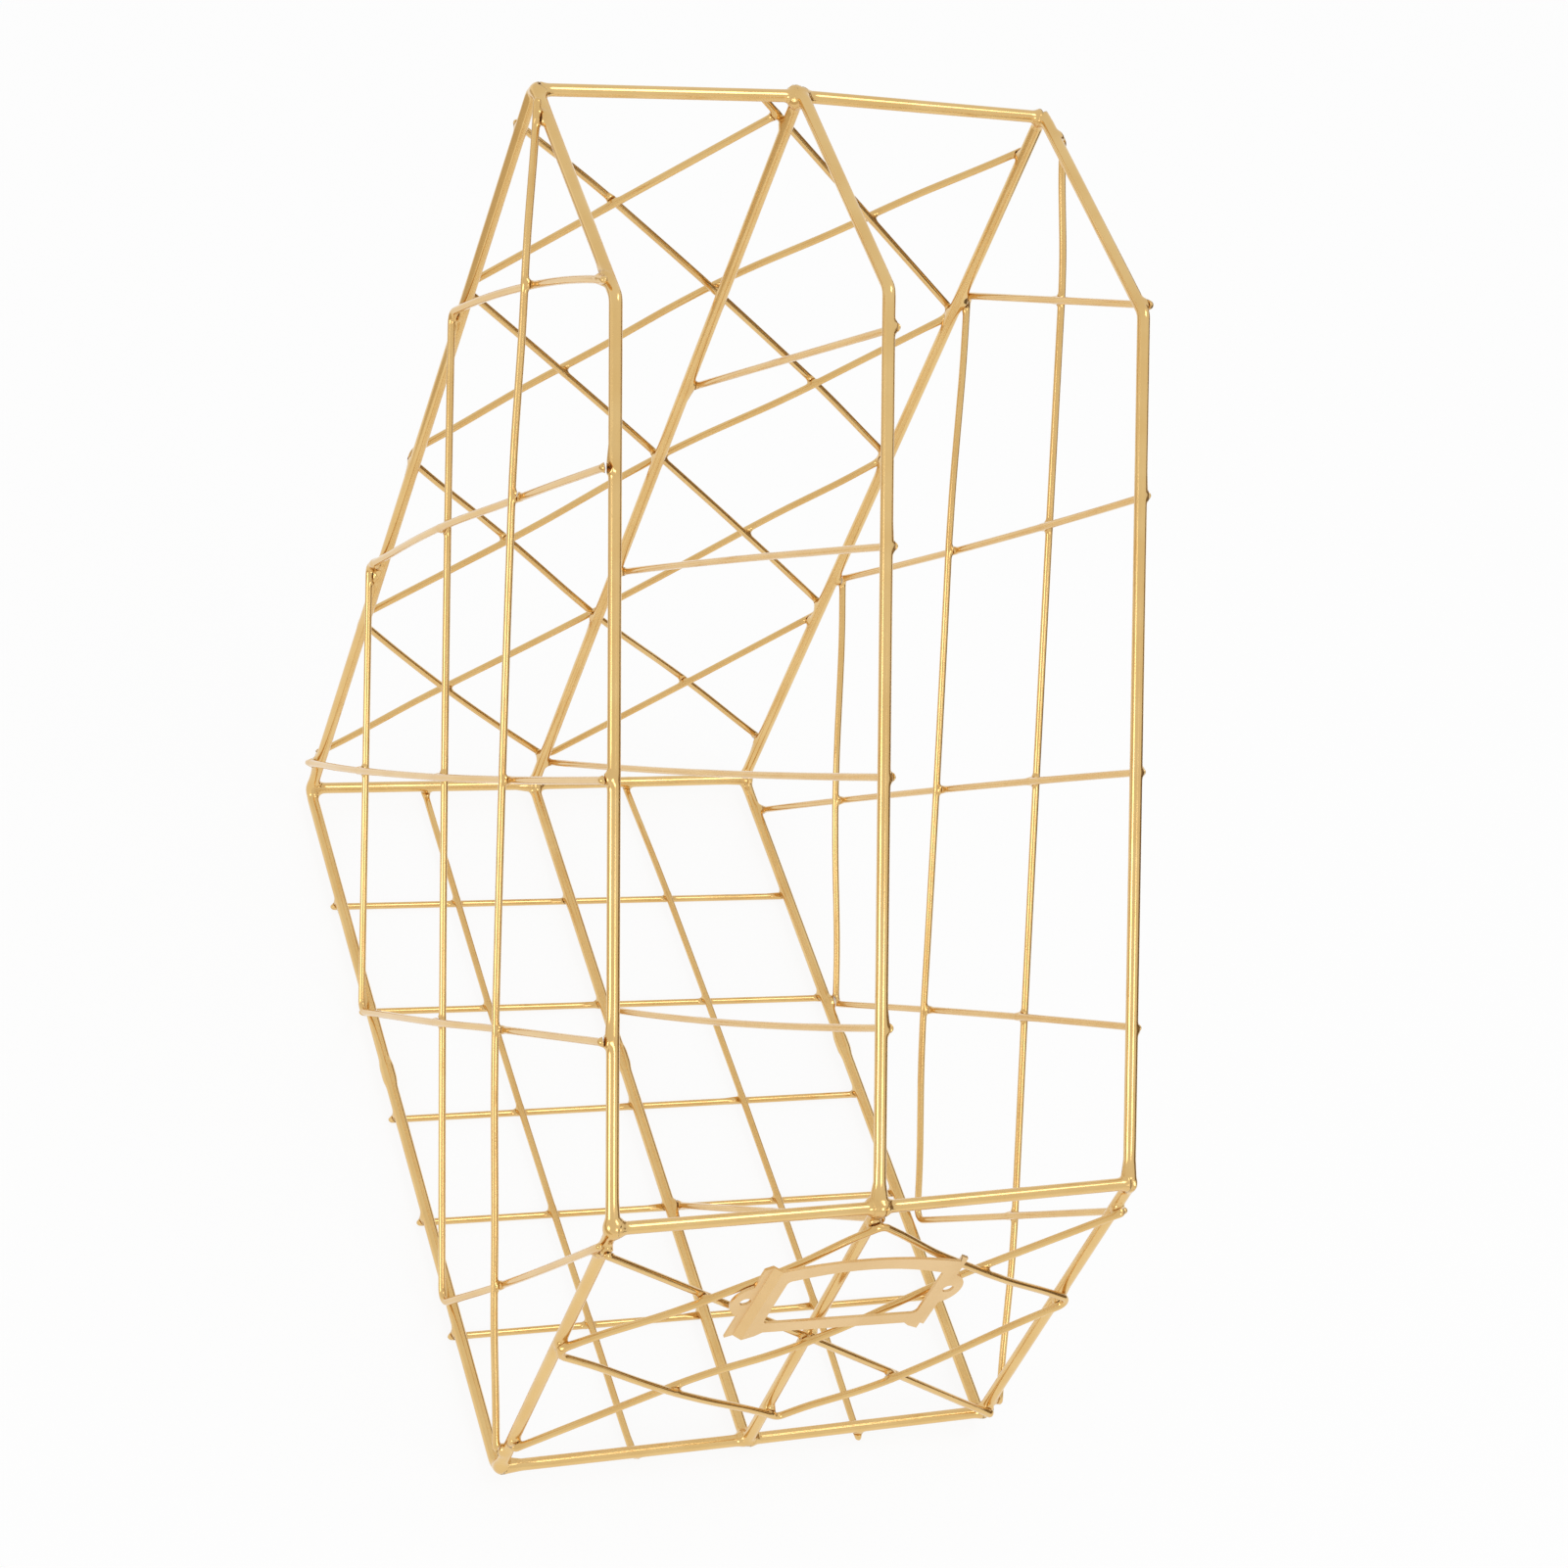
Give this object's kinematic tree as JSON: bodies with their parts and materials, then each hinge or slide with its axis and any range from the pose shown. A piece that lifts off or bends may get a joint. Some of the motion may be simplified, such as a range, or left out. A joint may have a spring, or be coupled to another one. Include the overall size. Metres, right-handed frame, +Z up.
{
  "type": "desk magazine holder",
  "caption": "Welded gold wire magazine holder with two tall bays, sloping open fronts, lattice back and front, and a card frame.",
  "frame": {"origin": "middle of the footprint, on the surface that the floor wires stand on", "axes": "+Z up, +X to the right seen from the front, -Y towards the front with the card frame"},
  "size_m": [0.1656, 0.2687, 0.2978],
  "materials": {
    "frame_wire": "satin metallic gold on round steel wire",
    "mesh_wire": "satin metallic gold on thin round steel wire",
    "card_sheet": "satin metallic gold on pressed steel sheet"
  },
  "bodies": {
    "root": {"left_frame": "frame_wire", "divider_frame": "frame_wire", "right_frame": "frame_wire", "rear_bottom_rod_left": "frame_wire", "rear_bottom_rod_right": "frame_wire", "rear_top_rod_left": "frame_wire", "rear_top_rod_right": "frame_wire", "slope_foot_rod_left": "frame_wire", "slope_foot_rod_right": "frame_wire", "front_bottom_rod_left": "frame_wire", "front_bottom_rod_right": "frame_wire", "left_outer_staple": "mesh_wire", "left_inner_staple": "mesh_wire", "left_cross_wire": "mesh_wire", "left_rail": "mesh_wire", "right_outer_staple": "mesh_wire", "right_inner_staple": "mesh_wire", "right_cross_wire": "mesh_wire", "right_rail": "mesh_wire", "divider_wire_1": "mesh_wire", "divider_wire_2": "mesh_wire", "divider_wire_3": "mesh_wire", "divider_wire_4": "mesh_wire", "divider_wire_5": "mesh_wire", "floor_cross_wire_1": "mesh_wire", "floor_cross_wire_2": "mesh_wire", "floor_cross_wire_3": "mesh_wire", "floor_cross_wire_4": "mesh_wire", "floor_cross_wire_5": "mesh_wire", "floor_rail_left": "mesh_wire", "floor_rail_right": "mesh_wire", "back_loop": "mesh_wire", "back_chevron_left": "mesh_wire", "back_chevron_right": "mesh_wire", "front_loop": "mesh_wire", "front_diagonal_falling": "mesh_wire", "front_diagonal_rising": "mesh_wire", "card_frame": "card_sheet"}
  },
  "joints": []
}
